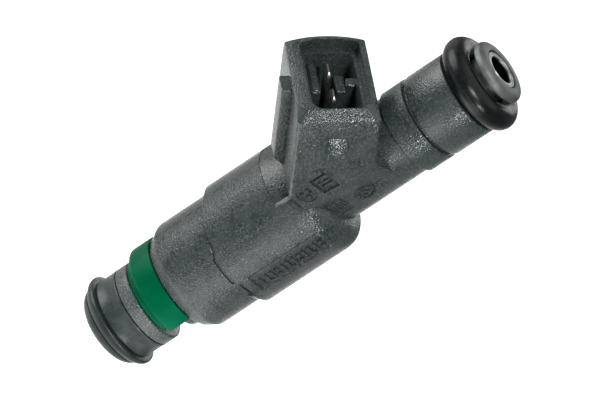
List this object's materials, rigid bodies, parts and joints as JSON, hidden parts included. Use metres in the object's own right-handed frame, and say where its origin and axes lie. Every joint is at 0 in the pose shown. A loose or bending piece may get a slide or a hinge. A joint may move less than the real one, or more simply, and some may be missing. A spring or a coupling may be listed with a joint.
{
  "type": "fuel injector",
  "caption": "Top-feed fuel injector: round moulded body with a slanted electrical connector, seal rings at both ends, a coloured clip ring and a spring-closed needle valve inside.",
  "frame": {"origin": "centre of the nozzle-end face, on the injector's axis", "axes": "+Z along the injector's axis towards the fuel inlet, +X towards the side that carries the electrical connector"},
  "size_m": [0.0279, 0.0174, 0.0679],
  "materials": {
    "grained_grey_plastic": "fine grained, satin",
    "smooth_dark_plastic": "smooth, semi-matte",
    "green_plastic": "glossy",
    "black_rubber": "smooth moulded, oily sheen",
    "plated_steel": "turned and plated, satin",
    "stainless_steel": "ground",
    "soft_iron": "machined",
    "brass": "turned",
    "enamelled_copper": "enamelled winding",
    "natural_nylon": "moulded",
    "tinned_bronze": "bright tinned",
    "spring_steel": "drawn wire"
  },
  "bodies": {
    "injector_body": {"nozzle_cap": "smooth_dark_plastic", "lower_seal_ring": "black_rubber", "nozzle_sleeve": "smooth_dark_plastic", "retaining_band": "grained_grey_plastic", "colour_ring": "green_plastic", "overmould_body": "grained_grey_plastic", "terminal_blade_a": "tinned_bronze", "terminal_blade_b": "tinned_bronze", "upper_sleeve": "grained_grey_plastic", "upper_o_ring": "black_rubber", "inlet_tube": "plated_steel", "filter_ring": "brass", "filter_basket": "natural_nylon", "filter_mesh": "natural_nylon", "adjusting_sleeve": "brass", "pole_core": "soft_iron", "coil_bobbin": "smooth_dark_plastic", "coil_winding": "enamelled_copper", "magnet_housing": "soft_iron", "yoke_washer": "soft_iron", "valve_body": "stainless_steel", "lift_shim": "stainless_steel", "guide_sleeve": "stainless_steel", "needle_guide": "stainless_steel", "valve_seat": "stainless_steel", "orifice_plate": "stainless_steel", "return_spring": "spring_steel"},
    "valve_group": {"armature": "soft_iron", "valve_needle": "stainless_steel", "valve_ball": "stainless_steel"}
  },
  "joints": [
    {"name": "valve_lift", "type": "slide", "parent": "injector_body", "child": "valve_group", "axis": [0, 0, 1], "range_m": [0, 0.0001], "stiffness_N_per_m": 1500, "springref_m": -0.002, "deforming": ["return_spring"]}
  ]
}
